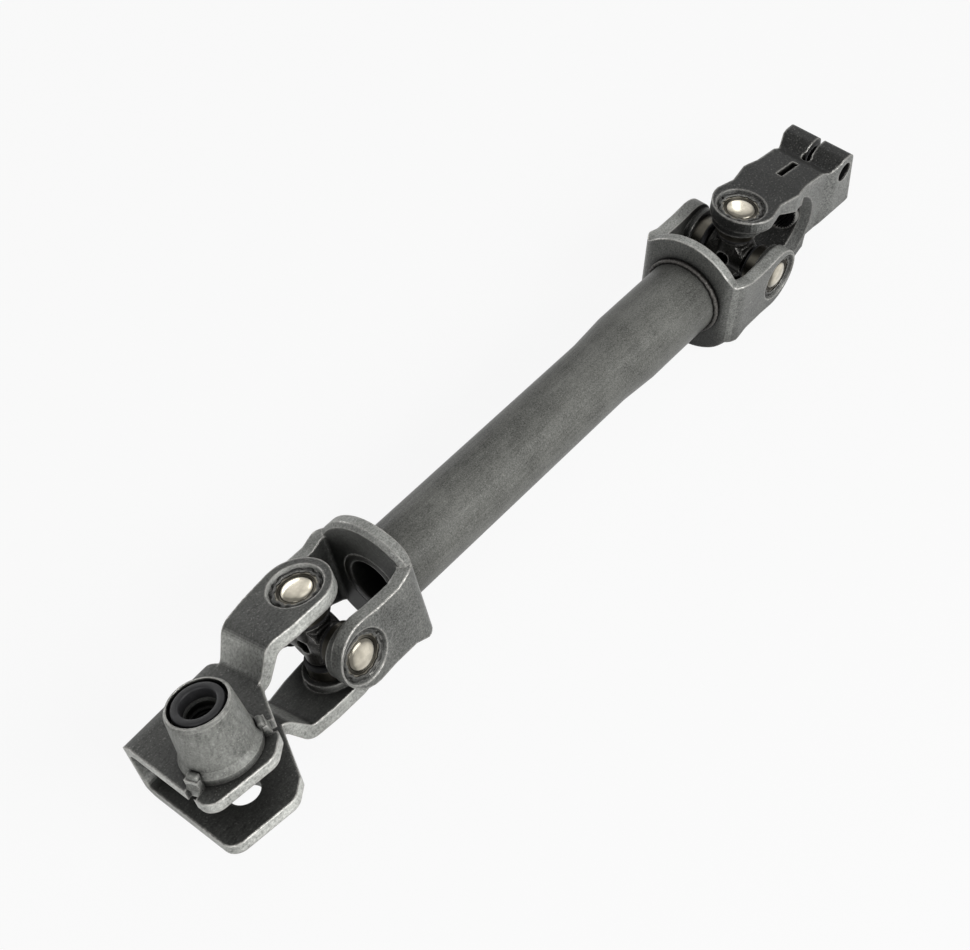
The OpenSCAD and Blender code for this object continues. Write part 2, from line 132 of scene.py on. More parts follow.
class ShaftPieceSizes(bpy.types.PropertyGroup):
    """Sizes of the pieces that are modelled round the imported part."""
    stake_inner: length("Stake ring inside", "Inner radius of the metal staked over a cup", 0.0070)
    stake_outer: length("Stake ring outside", "Outer radius of the metal staked over a cup", 0.0087)
    stake_high: length("Stake ring height", "Height of the staked metal above the floor of the mouth", 0.00055)
    stake_bites: IntProperty(name="Stake bites", description="Punch marks round each cup", default=12)
    stake_depth: length("Stake depth", "Depth of a punch mark", 0.00065)
    crown_radius: length("Crown radius", "Radius of the pressed crown of a cup", 0.0056)
    crown_high: length("Crown height", "Height of the crown above the cup", 0.0009)
    ring_inner: length("Lock ring inside", "Inner radius of the lock ring", 0.0056)
    ring_outer: length("Lock ring outside", "Outer radius of the lock ring", 0.0082)
    lip_wide: length("Stake lip width", "Width of a stake that holds the nut", 0.0056)
    lip_thick: length("Stake lip thickness", "Thickness of a stake that holds the nut", 0.0034)
    lip_high: length("Stake lip height", "Height of a stake that holds the nut", 0.0052)
    bead_ripples: IntProperty(name="Weld ripples", description="Ripples round a weld bead", default=52)
    bead_voxel: length("Weld grain", "Size of the grid that fuses the ripples", 0.00022)
    thread_pitch: length("Thread pitch", "Pitch of the nut thread", 0.0015)
    thread_high: length("Thread height", "Height of the nut thread", 0.00075)
    spline_teeth: IntProperty(name="Spline teeth", description="Teeth round the clamp bore", default=36)
    spline_high: length("Spline height", "Height of a spline tooth", 0.0006)
    spline_gap: length("Spline gap", "Half of the width without teeth at the clamp slit", 0.0014)


class ShaftColours(bpy.types.PropertyGroup):
    """Colours of the finishes."""
    tube: colour("Tube", "Oiled steel of the tube", (0.120, 0.121, 0.112))
    yoke: colour("Shaft yokes", "Pressed steel of the two shaft yokes", (0.140, 0.142, 0.134))
    channel: colour("Pinch yoke", "Phosphated steel of the lower pinch yoke", (0.170, 0.172, 0.162))
    nut: colour("Nut", "Phosphated steel of the captive nut", (0.185, 0.188, 0.175))
    fork: colour("Clamp fork", "Forged iron of the upper clamp fork", (0.062, 0.063, 0.060))
    cross: colour("Crosses", "Hardened steel of the crosses", (0.075, 0.072, 0.066))
    weld: colour("Welds", "Burnt steel of the weld beads", (0.085, 0.080, 0.074))
    bare: colour("Bare metal", "Worn edges where the finish is gone", (0.52, 0.51, 0.48))
    cup: colour("Cups", "Ground steel of the bearing cups", (0.35, 0.325, 0.27))
    rubber: colour("Seals", "Rubber of the lip seals", (0.018, 0.018, 0.019))
    ring: colour("Lock ring", "Dark lock ring in the nut", (0.016, 0.016, 0.017))


class ShaftStudio(bpy.types.PropertyGroup):
    """Camera, lamps and floor."""
    place: FloatVectorProperty(name="Camera place", description="Where the camera stands",
                               default=(-0.33309, -0.23289, 0.48797), subtype="TRANSLATION", unit="LENGTH")
    turn: FloatVectorProperty(name="Camera turn", description="How the camera is turned", subtype="EULER",
                              default=(radians(39.94), radians(-0.92), radians(-50.91)))
    lens: FloatProperty(name="Focal length", description="Focal length on a 36 mm sensor, in mm", default=67.7)
    key: FloatProperty(name="Key lamp", description="Power of the large lamp in front", default=9.8)
    side: FloatProperty(name="Side lamp", description="Power of the lamp beyond the lower joint", default=3.2)
    rim: FloatProperty(name="Rim lamp", description="Power of the narrow lamp behind", default=0.7)
    top: FloatProperty(name="Top lamp", description="Power of the lamp above", default=0.4)
    back: FloatProperty(name="Back lamp", description="Power of the low lamp behind", default=2.2)
    ambient: FloatProperty(name="Ambient", description="Brightness of the surroundings", default=0.1)
    floor: colour("Floor", "Colour of the floor", (0.6, 0.6, 0.6))
    floor_size: length("Floor size", "Half the side of the floor", 12.0)


# Finishes, each a graph of nodes that reads Object coordinates in millimetres

class Finish:
    """One material and short ways to add nodes to it."""

    def __init__(self, name):
        self.material = bpy.data.materials.new(name)
        self.material.use_nodes = True
        self.tree = self.material.node_tree
        self.tree.nodes.clear()
        self.output = self.add("ShaderNodeOutputMaterial")
        self.shader = self.add("ShaderNodeBsdfPrincipled")
        self.join(self.shader.outputs[0], self.output.inputs[0])
        self.coordinates = self.add("ShaderNodeTexCoord")
        self.place = self.coordinates.outputs["Object"]

    def add(self, kind, **settings):
        node = self.tree.nodes.new(kind)
        node.location = (220 * (len(self.tree.nodes) % 9), -260 * (len(self.tree.nodes) // 9))
        for key, value in settings.items():
            setattr(node, key, value)
        return node

    def join(self, source, target):
        self.tree.links.new(source, target)

    def feed(self, target, value):
        if isinstance(value, bpy.types.NodeSocket):
            self.join(value, target)
        else:
            target.default_value = value

    def in_mm(self, stretch=(1, 1, 1), turn=(0, 0, 0)):
        """Object coordinates in millimetres, stretched and turned for a pattern."""
        mapping = self.add("ShaderNodeMapping", vector_type="TEXTURE")
        self.join(self.place, mapping.inputs["Vector"])
        mapping.inputs["Rotation"].default_value = turn
        mapping.inputs["Scale"].default_value = [MM * s for s in stretch]
        return mapping.outputs[0]

    def local(self, place):
        """Coordinates in millimetres in the frame of one piece."""
        mapping = self.add("ShaderNodeMapping", vector_type="TEXTURE")
        self.join(self.place, mapping.inputs["Vector"])
        mapping.inputs["Location"].default_value = place.to_translation()
        mapping.inputs["Rotation"].default_value = place.to_euler()
        mapping.inputs["Scale"].default_value = (MM, MM, MM)
        return mapping.outputs[0]

    def radius(self, local):
        """Distance from the Z axis of a piece."""
        flat = self.add("ShaderNodeVectorMath", operation="MULTIPLY")
        self.join(local, flat.inputs[0])
        flat.inputs[1].default_value = (1, 1, 0)
        long = self.add("ShaderNodeVectorMath", operation="LENGTH")
        self.join(flat.outputs[0], long.inputs[0])
        return long.outputs["Value"]

    def height(self, local):
        split = self.add("ShaderNodeSeparateXYZ")
        self.join(local, split.inputs[0])
        return split.outputs["Z"]

    def facing(self, direction):
        """How squarely a face looks along a direction or against it."""
        dot = self.add("ShaderNodeVectorMath", operation="DOT_PRODUCT")
        self.join(self.coordinates.outputs["Normal"], dot.inputs[0])
        dot.inputs[1].default_value = direction
        return self.math("ABSOLUTE", dot.outputs["Value"])

    def noise(self, vector, scale, detail=3.0, roughness=0.55):
        node = self.add("ShaderNodeTexNoise")
        self.join(vector, node.inputs["Vector"])
        node.inputs["Scale"].default_value = scale
        node.inputs["Detail"].default_value = detail
        node.inputs["Roughness"].default_value = roughness
        return node.outputs["Fac"]

    def math(self, operation, a, b=0.0, clamp=False):
        node = self.add("ShaderNodeMath", operation=operation, use_clamp=clamp)
        self.feed(node.inputs[0], a)
        self.feed(node.inputs[1], b)
        return node.outputs[0]

    def spread(self, value, low, high, to_low=0.0, to_high=1.0):
        """Maps a value from one range to another and holds it there."""
        node = self.add("ShaderNodeMapRange", clamp=True)
        self.feed(node.inputs["Value"], value)
        node.inputs["From Min"].default_value = low
        node.inputs["From Max"].default_value = high
        node.inputs["To Min"].default_value = to_low
        node.inputs["To Max"].default_value = to_high
        return node.outputs[0]

    def scale(self, tint, level):
        """A colour times a level."""
        node = self.add("ShaderNodeVectorMath", operation="SCALE")
        self.join(tint, node.inputs[0])
        self.feed(node.inputs["Scale"], level)
        return node.outputs[0]

    def blend(self, factor, a, b):
        node = self.add("ShaderNodeMix", data_type="RGBA")
        self.feed(node.inputs[0], factor)
        self.feed(node.inputs[6], a)
        self.feed(node.inputs[7], b)
        return node.outputs[2]

    def round_edges(self, radius):
        """Normal rounded over the edges, and how near a point is to one."""
        bevel = self.add("ShaderNodeBevel", samples=6)
        bevel.inputs["Radius"].default_value = radius
        flat = self.add("ShaderNodeNewGeometry").outputs["Normal"]
        dot = self.add("ShaderNodeVectorMath", operation="DOT_PRODUCT")
        self.join(bevel.outputs[0], dot.inputs[0])
        self.join(flat, dot.inputs[1])
        return bevel.outputs[0], self.math("SUBTRACT", 1.0, dot.outputs["Value"], clamp=True)

    def shelter(self, distance):
        """How open a point is: 1 on a free face, low in a corner."""
        node = self.add("ShaderNodeAmbientOcclusion", samples=6, only_local=False)
        node.inputs["Distance"].default_value = distance
        return node.outputs["AO"]

    def bump(self, height, strength, depth, normal):
        node = self.add("ShaderNodeBump")
        node.inputs["Strength"].default_value = strength
        node.inputs["Distance"].default_value = depth
        self.join(height, node.inputs["Height"])
        if normal is not None:
            self.join(normal, node.inputs["Normal"])
        return node.outputs[0]


def rgba(value, level=1.0):
    return (*[c * level for c in value], 1.0)


def worn_steel(name, base, bare, *, grain=1.4, grain_depth=0.05, streak=(1, 1, 1), streak_level=0.35,
               contrast=2.4, speck=0.3, wear=1.0, rough=(0.36, 0.52), metal=0.1, gloss=0.15, edge=0.0012,
               face=None):
    """Phosphated or oiled steel: grain, cloudy tone, drawn streaks, bright specks, worn edges, and painted shade in
    corners and enclosed spaces.

    A face of (directions, tone, other tone) tells faces that look along a direction from the others."""
    f = Finish(name)
    even = f.in_mm()
    cloud = f.noise(even, 0.07, 4.0)
    fine = f.noise(even, grain, 5.0, 0.7)
    drawn = f.noise(f.in_mm(streak), 0.8, 3.0)
    rounded, near = f.round_edges(edge)
    corner = f.shelter(0.0025)
    enclosed = f.shelter(0.024)

    tone = f.math("ADD", f.math("MULTIPLY", f.math("SUBTRACT", cloud, 0.5), 1.0),
                  f.math("MULTIPLY", f.math("SUBTRACT", drawn, 0.5), streak_level * 2))
    tone = f.math("ADD", tone, f.math("MULTIPLY", f.math("SUBTRACT", fine, 0.5), contrast))
    colour_now = f.blend(f.spread(tone, -0.6, 0.6), rgba(base, 0.28), rgba(base, 1.85))
    if face:
        directions, along, across = face
        squarely = f.facing(directions[0])
        for direction in directions[1:]:
            squarely = f.math("MAXIMUM", squarely, f.facing(direction))
        level = f.spread(squarely, 0.6, 0.88, across, along)
        colour_now = f.scale(colour_now, level)
    # Painted shade: the colour falls towards 0.06 of the base in corners and enclosed spaces, where the ambient
    # occlusion finds them
    painted_shade = f.math("MULTIPLY", f.spread(corner, 0.35, 0.9, 0.2, 1.0), f.spread(enclosed, 0.4, 0.93, 0.02, 1.0))
    colour_now = f.blend(painted_shade, rgba(base, 0.06), colour_now)

    specks = f.spread(f.noise(even, 1.7, 2.0), 0.61, 0.68)
    specks = f.math("MULTIPLY", specks, f.spread(f.noise(even, 0.16, 2.0), 0.42, 0.6, 0.15, speck))
    specks = f.math("MULTIPLY", specks, f.spread(enclosed, 0.5, 0.85))
    ragged = f.spread(f.noise(even, 0.8, 5.0, 0.7), 0.36, 0.58, 0.4, 1.0)
    rubbed = f.math("MULTIPLY", f.spread(near, 0.012, 0.13, 0.0, wear), ragged)
    rubbed = f.math("MULTIPLY", rubbed, f.spread(enclosed, 0.4, 0.75))
    shine = f.math("MAXIMUM", specks, rubbed, clamp=True)
    colour_now = f.blend(shine, colour_now, rgba(bare))

    f.join(colour_now, f.shader.inputs["Base Color"])
    f.join(f.math("ADD", f.math("MULTIPLY", shine, 0.7), metal), f.shader.inputs["Metallic"])
    f.shader.inputs["Specular IOR Level"].default_value = gloss
    roughness = f.spread(f.math("ADD", cloud, f.math("MULTIPLY", fine, 0.5)), 0.5, 1.0, rough[0], rough[1])
    f.join(f.math("SUBTRACT", roughness, f.math("MULTIPLY", shine, 0.1)), f.shader.inputs["Roughness"])
    height = f.math("ADD", fine, f.math("MULTIPLY", drawn, streak_level))
    f.join(f.bump(height, 0.6, grain_depth * MM, rounded), f.shader.inputs["Normal"])
    return f.material


def bright_steel(name, base, rough=0.24, mottle=(0.5, 1.3), domes=()):
    """Ground and polished steel with faint scratches, painted shade in its corners, and on a dome a painted
    highlight at the pole that fades to painted shade at the foot.
    """
    f = Finish(name)
    even = f.in_mm()
    rounded = f.round_edges(0.0003)[0]
    cloud = f.noise(even, 0.25, 2.0)
    scratch = f.noise(f.in_mm((1, 1, 6)), 1.3, 3.0)
    # Painted shade: the colour falls to 0.05 of the base in corners, where the ambient occlusion finds them
    painted_corner_shade = f.spread(f.shelter(0.003), 0.3, 0.9)
    steel_now = f.blend(f.spread(cloud, 0.35, 0.65), rgba(base, mottle[0]), rgba(base, mottle[1]))
    # Painted highlight and shade: a dome is brighter where its face looks along its axis and darker towards its foot
    if domes:
        squarely = f.facing(domes[0])
        for direction in domes[1:]:
            squarely = f.math("MAXIMUM", squarely, f.facing(direction))
        steel_now = f.scale(steel_now, f.spread(squarely, 0.9, 0.99, 0.3, 1.12))
    f.join(f.blend(painted_corner_shade, rgba(base, 0.05), steel_now), f.shader.inputs["Base Color"])
    f.feed(f.shader.inputs["Metallic"], 1.0)
    f.join(f.spread(cloud, 0.3, 0.7, rough * 0.8, rough * 1.25), f.shader.inputs["Roughness"])
    f.join(f.bump(scratch, 0.15, 0.004 * MM, rounded), f.shader.inputs["Normal"])
    return f.material


def cup_steel(name, base, place):
    """Bearing cup: bright rim, dark rolled groove, and a wall that is dark more than a millimetre below the top."""
    f = Finish(name)
    local = f.local(place)
    away = f.radius(local)
    high = f.height(local)
    cloud = f.noise(f.in_mm(), 0.6, 3.0)
    on_top = f.spread(high, -1.3, -0.9)
    rim = f.math("MULTIPLY", f.spread(away, 6.4, 6.6), f.spread(away, 6.95, 7.15, 1.0, 0.0))
    inside = f.spread(away, 4.6, 5.3, 1.0, 0.0)
    bright = f.math("MULTIPLY", f.math("MAXIMUM", f.math("MULTIPLY", rim, 0.6), inside), on_top)
    tone = f.math("MULTIPLY", bright, f.spread(cloud, 0.3, 0.7, 0.75, 1.0))
    f.join(f.blend(tone, rgba(base, 0.22), rgba(base)), f.shader.inputs["Base Color"])
    f.feed(f.shader.inputs["Metallic"], 1.0)
    f.join(f.spread(bright, 0.0, 1.0, 0.38, 0.22), f.shader.inputs["Roughness"])
    rounded = f.round_edges(0.0003)[0]
    f.join(f.bump(cloud, 0.15, 0.01 * MM, rounded), f.shader.inputs["Normal"])
    return f.material


def soft_black(name, base, rough, grain):
    """Soft dark finish with a fine moulded grain and a little dust."""
    f = Finish(name)
    even = f.in_mm()
    fine = f.noise(even, grain, 4.0)
    dust = f.spread(f.noise(even, 0.5, 4.0), 0.45, 0.75, 0.0, 0.5)
    f.join(f.blend(dust, rgba(base), rgba(base, 1.9)), f.shader.inputs["Base Color"])
    f.join(f.spread(fine, 0.3, 0.7, rough - 0.06, rough + 0.08), f.shader.inputs["Roughness"])
    f.shader.inputs["Specular IOR Level"].default_value = 0.22
    rounded = f.round_edges(0.0003)[0]
    f.join(f.bump(fine, 0.4, 0.03 * MM, rounded), f.shader.inputs["Normal"])
    return f.material


def make_finishes(colours):
    """All finishes of the part, by the name of their slot in the record."""
    bare = colours.bare

    def pressed(name, flats):
        return worn_steel(name, colours.yoke, bare, grain=1.6, grain_depth=0.04, streak=(6, 1, 1),
                          streak_level=0.3, speck=0.25, rough=(0.34, 0.5), face=(flats, 0.9, 1.8))

    return {
        "tube_steel": worn_steel("oiled_tube", colours.tube, bare, grain=2.2, grain_depth=0.02,
                                 streak=(14, 1, 1), streak_level=0.25, speck=0.15, wear=0.7, rough=(0.32, 0.42),
                                 metal=0.03, gloss=0.1),
        "yoke_steel": pressed("pressed_lower_yoke", (LOWER_SIDE, ALONG)),
        "upper_yoke": pressed("pressed_upper_yoke", (UPPER_SIDE, ALONG)),
        # Painted shade: the staked metal and the nut thread are a darker copy of the yoke colour, at 0.4, for the
        # recesses they sit in
        "staked": worn_steel("staked_metal_painted_shade", [c * 0.4 for c in colours.yoke], bare, grain=1.7, wear=0.5, speck=0.2),
        "channel_steel": worn_steel("phosphate_channel", colours.channel, bare, grain=1.3, grain_depth=0.06,
                                    streak=(5, 1, 1), contrast=2.0, speck=0.3, rough=(0.42, 0.58),
                                    face=((LOWER_TOP,), 0.42, 2.5)),
        "nut_steel": worn_steel("phosphate_nut", colours.nut, bare, grain=1.5, grain_depth=0.05,
                                streak=(1, 1, 7), streak_level=0.5, contrast=1.4, speck=0.35,
                                rough=(0.34, 0.5)),
        "fork_iron": worn_steel("forged_fork", colours.fork, bare, grain=1.5, grain_depth=0.09,
                                streak=(1, 1, 1), streak_level=0.1, contrast=3.4, speck=0.2, wear=0.75, rough=(0.38, 0.56),
                                edge=0.0015, face=((UPPER_SIDE,), 2.6, 0.32)),
        "cross_steel": worn_steel("forged_cross", colours.cross, bare, grain=1.4, grain_depth=0.04,
                                  speck=0.3, wear=1.0, rough=(0.28, 0.42), metal=0.4),
        "weld_steel": worn_steel("burnt_weld", colours.weld, bare, grain=1.8, grain_depth=0.04,
                                 speck=0.2, wear=0.2, rough=(0.36, 0.5)),
        "cup_steel": bright_steel("ground_cup", colours.cup),
        # The crowns get a painted highlight at the pole of each dome and painted shade at its foot
        "crown": bright_steel("ground_crown", [c * 1.65 for c in colours.cup], 0.2, (0.8, 1.12),
                              (LOWER_SIDE, LOWER_TOP, UPPER_SIDE, UPPER_TOP)),
        "needle_steel": bright_steel("ground_needle", colours.cup, 0.16),
        "seal_rubber": soft_black("seal_rubber", colours.rubber, 0.55, 3.0),
        "lock_ring": soft_black("lock_ring", colours.ring, 0.46, 2.0),
    }


def slot_of(node):
    """Slot in the record of a node's material."""
    for one in frame["record"]["subparts"]:
        if one["node"] == node:
            return one["material_slot"]
    raise RuntimeError(f"the record gives {node} no material")


# Short ways to model by operator

def alone(piece):
    """Selects one object and nothing else."""
    if bpy.context.object and bpy.context.object.mode != "OBJECT":
        bpy.ops.object.mode_set(mode="OBJECT")
    bpy.ops.object.select_all(action="DESELECT")
    if piece:
        piece.select_set(True)
        bpy.context.view_layer.objects.active = piece


def start(add, **settings):
    """Adds a primitive with nothing else selected, and puts its place into its mesh."""
    alone(None)
    add(**settings)
    piece = bpy.context.object
    bpy.ops.object.transform_apply(location=True, rotation=True, scale=True)
    return piece


def edit(piece):
    alone(piece)
    bpy.ops.object.mode_set(mode="EDIT")


def upright_plate(wide, tall, middle):
    """A plate that stands in the XZ plane, left in edit mode with all of it selected."""
    plate = start(bpy.ops.mesh.primitive_plane_add, size=1, location=middle, rotation=(pi / 2, 0, 0))
    edit(plate)
    bpy.ops.mesh.select_all(action="SELECT")
    bpy.ops.transform.resize(value=(wide, 1, tall), center_override=middle)
    return plate


def pick(piece, test):
    """In edit mode, selects the vertices whose place passes the test, with their edges and faces."""
    bpy.ops.mesh.select_mode(type="VERT")
    mesh = bmesh.from_edit_mesh(piece.data)
    for part in (mesh.faces, mesh.edges, mesh.verts):
        for one in part:
            one.select_set(False)
    for vertex in mesh.verts:
        vertex.select_set(bool(test(vertex.co)))
    mesh.select_flush(True)
    bmesh.update_edit_mesh(piece.data)


def close_up():
    """In edit mode, merges doubles and turns all faces outwards."""
    bpy.ops.mesh.select_all(action="SELECT")
    bpy.ops.mesh.remove_doubles(threshold=1e-6)
    bpy.ops.mesh.normals_make_consistent(inside=False)


def modify(piece, kind, **settings):
    """Adds a modifier, sets it and applies it."""
    alone(piece)
    bpy.ops.object.modifier_add(type=kind)
    modifier = piece.modifiers[-1]
    for key, value in settings.items():
        setattr(modifier, key, value)
    bpy.ops.object.modifier_apply(modifier=modifier.name)


def settle(piece, name, place, body, material):
    """Names a finished piece, puts it in its place, gives it its finish and lets it ride on its body."""
    alone(piece)
    piece.name = name
    piece.data.name = name
    piece.matrix_world = place
    bpy.ops.object.transform_apply(location=True, rotation=True, scale=True)
    bpy.ops.object.shade_smooth_by_angle(angle=radians(38))
    piece.data.materials.clear()
    piece.data.materials.append(material)
    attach(piece, body)
    return piece


def finish_of(slot):
    """Material of a slot, made once."""
    made = bpy.context.scene.get("shaft_finishes")
    if made is None:
        made = {key: one.name for key, one in make_finishes(bpy.context.scene.shaft_colours).items()}
        bpy.context.scene["shaft_finishes"] = made
    return bpy.data.materials[made[slot]]


class ShaftOperator:
    """What every operator of this add-on shares."""
    bl_options = {"REGISTER", "UNDO"}


class SHAFT_OT_finishes(ShaftOperator, bpy.types.Operator):
    """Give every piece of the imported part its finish"""
    bl_idname = "shaft.finishes"
    bl_label = "Finish the packed part"

    def execute(self, context):
        base = context.scene.shaft_colours.cup
        for name, node in frame["nodes"].items():
            node.data.materials[0] = finish_of(slot_of(name))
        frame["nodes"]["upper_shaft_yoke"].data.materials[0] = finish_of("upper_yoke")
        for name, (centre, outward, toward, body, slot) in CUPS.items():
            top = ring_extent(name + "_cup", centre, outward)[1]
            place = stand(centre + outward * top, outward, toward)
            frame["nodes"][name + "_cup"].data.materials[0] = cup_steel(name + "_cup", base, place)
        return {"FINISHED"}


class SHAFT_OT_stakings(ShaftOperator, bpy.types.Operator):
    """Model the ring of metal that is punched over the rim of each bearing cup"""
    bl_idname = "shaft.stakings"
    bl_label = "Stake the bearing cups"

    def model(self, sizes):
        wide = sizes.stake_outer - sizes.stake_inner
        middle = (sizes.stake_outer + sizes.stake_inner) / 2
        sunk = 0.1 * MM
        tall = sizes.stake_high + sunk
        ring = upright_plate(wide, tall, (middle, 0, tall / 2 - sunk))
        bpy.ops.mesh.subdivide(number_cuts=2)
        pick(ring, lambda p: True)
        bpy.ops.mesh.delete(type="ONLY_FACE")
        pick(ring, lambda p: abs(p.x - middle) < wide * 0.4 and abs(p.z - tall / 2 + sunk) < tall * 0.4)
        bpy.ops.mesh.delete(type="VERT")
        pick(ring, lambda p: p.z > sizes.stake_high * 0.9)
        bpy.ops.transform.resize(value=(0.55, 1, 1), center_override=(middle + wide * 0.05, 0, 0))
        bpy.ops.mesh.select_all(action="SELECT")
        steps = sizes.stake_bites * 10
        bpy.ops.mesh.spin(steps=steps, angle=2 * pi, center=(0, 0, 0), axis=(0, 0, 1))
        close_up()
        for bite in range(sizes.stake_bites):
            self.punch(ring, sizes, bite, middle)
        bpy.ops.object.mode_set(mode="OBJECT")
        return ring

    def punch(self, ring, sizes, bite, middle):
        """One punch mark: metal pushed down at the outside and inwards over the rim of the cup."""
        turn = 2 * pi * (bite + 0.18 * sin(5 * bite)) / sizes.stake_bites
        half = 2 * pi / sizes.stake_bites * (0.27 + 0.07 * cos(3 * bite))
        deep = sizes.stake_depth * (0.8 + 0.2 * sin(2 * bite + 1))
        out = Vector((cos(turn), sin(turn), 0))

        def near(p, share):
            away = abs((atan2(p.y, p.x) - turn + pi) % (2 * pi) - pi)
            return away < half * share

        pick(ring, lambda p: near(p, 1) and hypot(p.x, p.y) > middle and p.z > sizes.stake_high * 0.5)
        bpy.ops.transform.translate(value=(0, 0, -deep * 0.6))
        pick(ring, lambda p: near(p, 0.7) and hypot(p.x, p.y) > middle and p.z > -sizes.stake_depth)
        bpy.ops.transform.translate(value=-out * deep * 0.3 + Vector((0, 0, -deep * 0.25)))
        pick(ring, lambda p: near(p, 0.9) and hypot(p.x, p.y) < middle and p.z > sizes.stake_high * 0.3)
        bpy.ops.transform.translate(value=-out * deep * 0.75 + Vector((0, 0, deep * 0.2)))

    def execute(self, context):
        sizes = context.scene.shaft_sizes
        lip = 0.45 * MM
        for name, (centre, outward, base, body, slot) in CUPS.items():
            top = ring_extent(name + "_cup", centre, outward)[1]
            ring = self.model(sizes)
            settle(ring, name + "_staking", stand(centre + outward * (top - lip), outward, base),
                   body, finish_of("staked"))
        return {"FINISHED"}


class SHAFT_OT_crowns(ShaftOperator, bpy.types.Operator):
    """Press the crown into the floor of each bearing cup"""
    bl_idname = "shaft.crowns"
    bl_label = "Crown the bearing cups"

    def execute(self, context):
        sizes = context.scene.shaft_sizes
        sunk = 0.95 * MM
        rise = (sunk + sizes.crown_high) / sizes.crown_radius
        for name, (centre, outward, base, body, slot) in CUPS.items():
            top = ring_extent(name + "_cup", centre, outward)[1]
            crown = start(bpy.ops.mesh.primitive_uv_sphere_add, segments=64, ring_count=32,
                          radius=sizes.crown_radius)
            edit(crown)
            bpy.ops.mesh.select_all(action="SELECT")
            bpy.ops.mesh.bisect(plane_co=(0, 0, 0), plane_no=(0, 0, 1), clear_inner=True, use_fill=True)
            bpy.ops.mesh.select_all(action="SELECT")
            bpy.ops.transform.resize(value=(1, 1, rise), center_override=(0, 0, 0))
            close_up()
            bpy.ops.object.mode_set(mode="OBJECT")
            settle(crown, name + "_crown", stand(centre + outward * (top - sunk), outward, base),
                   body, bpy.data.materials["ground_crown"])
        return {"FINISHED"}


class SHAFT_OT_lock_ring(ShaftOperator, bpy.types.Operator):
    """Turn the lock ring that lies in the mouth of the nut"""
    bl_idname = "shaft.lock_ring"
    bl_label = "Fit the lock ring"

    def execute(self, context):
        sizes = context.scene.shaft_sizes
        centre = mount("captive_thread")[0]
        low, high, inner, outer = ring_extent("nut_lock_ring", centre, LOWER_TOP)
        wide = sizes.ring_outer - sizes.ring_inner
        tall = high - low - 0.5 * MM
        middle = (sizes.ring_outer + sizes.ring_inner) / 2
        ring = upright_plate(wide, tall, (middle, 0, low + tall / 2))
        bpy.ops.mesh.delete(type="ONLY_FACE")
        pick(ring, lambda p: p.z > low + tall / 2)
        bpy.ops.mesh.bevel(offset=0.8 * MM, segments=4, affect="VERTICES")
        bpy.ops.mesh.select_all(action="SELECT")
        bpy.ops.mesh.spin(steps=96, angle=2 * pi, center=(0, 0, 0), axis=(0, 0, 1))
        close_up()
        bpy.ops.object.mode_set(mode="OBJECT")
        settle(ring, "nut_lock_ring_turned", stand(centre, LOWER_TOP, -ALONG), "lower_clamp",
               finish_of("lock_ring"))
        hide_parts("nut_lock_ring")
        return {"FINISHED"}


class SHAFT_OT_nut_stakes(ShaftOperator, bpy.types.Operator):
    """Round the two stakes that hold the foot of the nut"""
    bl_idname = "shaft.nut_stakes"
    bl_label = "Stake the nut"

    def execute(self, context):
        sizes = context.scene.shaft_sizes
        across = (-LOWER_SIDE).cross(LOWER_TOP)
        centre = mount("captive_thread")[0]
        plate = ring_extent("captive_nut", LOWER_CENTRE, LOWER_TOP)[0]
        on_plate = centre - LOWER_TOP * ((centre - LOWER_CENTRE).dot(LOWER_TOP) - plate)
        foot = ring_extent("captive_nut", centre, LOWER_TOP)[3]
        for name, turn in {"near": 12, "far": 152}.items():
            high, wide, thick = sizes.lip_high, sizes.lip_wide, sizes.lip_thick
            lip = start(bpy.ops.mesh.primitive_cube_add, size=1, location=(foot + thick * 0.3, 0, high * 0.42))
            edit(lip)
            bpy.ops.mesh.select_all(action="SELECT")
            bpy.ops.transform.resize(value=(thick, wide, high), center_override=(foot + thick * 0.3, 0, high * 0.42))
            pick(lip, lambda p: p.z > high / 2)
            bpy.ops.transform.resize(value=(0.62, 0.74, 1))
            bpy.ops.transform.translate(value=(-0.35 * thick, 0, 0))
            bpy.ops.object.mode_set(mode="OBJECT")
            modify(lip, "BEVEL", width=0.6 * MM, segments=2, limit_method="NONE")
            modify(lip, "SUBSURF", levels=2, render_levels=2)
            turned = stand(on_plate, LOWER_TOP, across) @ Matrix.Rotation(radians(turn), 4, "Z")
            settle(lip, "nut_stake_" + name, turned, "lower_clamp", finish_of("nut_steel"))
        return {"FINISHED"}


